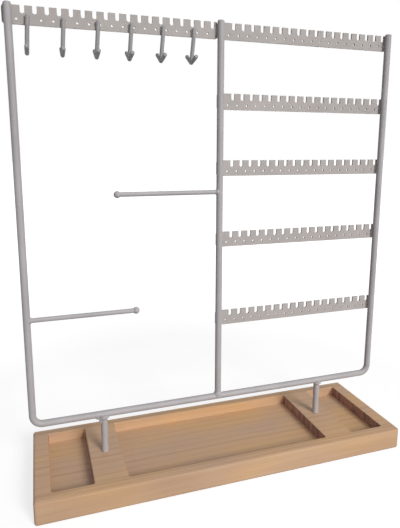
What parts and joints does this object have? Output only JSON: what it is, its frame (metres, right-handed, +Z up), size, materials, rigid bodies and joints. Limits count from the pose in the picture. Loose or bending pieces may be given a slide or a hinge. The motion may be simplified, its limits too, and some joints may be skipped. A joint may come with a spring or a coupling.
{
  "type": "jewellery stand",
  "caption": "Table-top jewellery stand: welded rod frame with slotted earring strips, double hooks and bracelet arms on a milled wooden tray.",
  "frame": {"origin": "middle of the tray's underside", "axes": "+Z up, X along the tray and the frame, -Y towards the user, earring strips on the +X half"},
  "size_m": [0.3474, 0.106, 0.4],
  "materials": {
    "wood": "light softwood with a clear satin finish, end grain darker",
    "frame_paint": "white-grey semi-gloss powder coat",
    "strip_paint": "white-grey semi-gloss powder coat",
    "hook_paint": "light grey semi-gloss powder coat",
    "screw_steel": "zinc-plated steel"
  },
  "bodies": {
    "root": {"base_tray": "wood", "post_screws": "screw_steel", "outer_frame": "frame_paint", "centre_upright": "frame_paint", "post_left": "frame_paint", "post_right": "frame_paint", "bracelet_arm_upper": "frame_paint", "bracelet_arm_lower": "frame_paint", "earring_rail_top_left": "strip_paint", "earring_rail_top_right": "strip_paint", "earring_rail_upper": "strip_paint", "earring_rail_middle": "strip_paint", "earring_rail_lower": "strip_paint", "earring_rail_bottom": "strip_paint", "hook_stem_1": "hook_paint", "hook_prongs_1": "hook_paint", "hook_stem_2": "hook_paint", "hook_prongs_2": "hook_paint", "hook_stem_3": "hook_paint", "hook_prongs_3": "hook_paint", "hook_stem_4": "hook_paint", "hook_prongs_4": "hook_paint", "hook_stem_5": "hook_paint", "hook_prongs_5": "hook_paint", "hook_stem_6": "hook_paint", "hook_prongs_6": "hook_paint"}
  },
  "joints": []
}
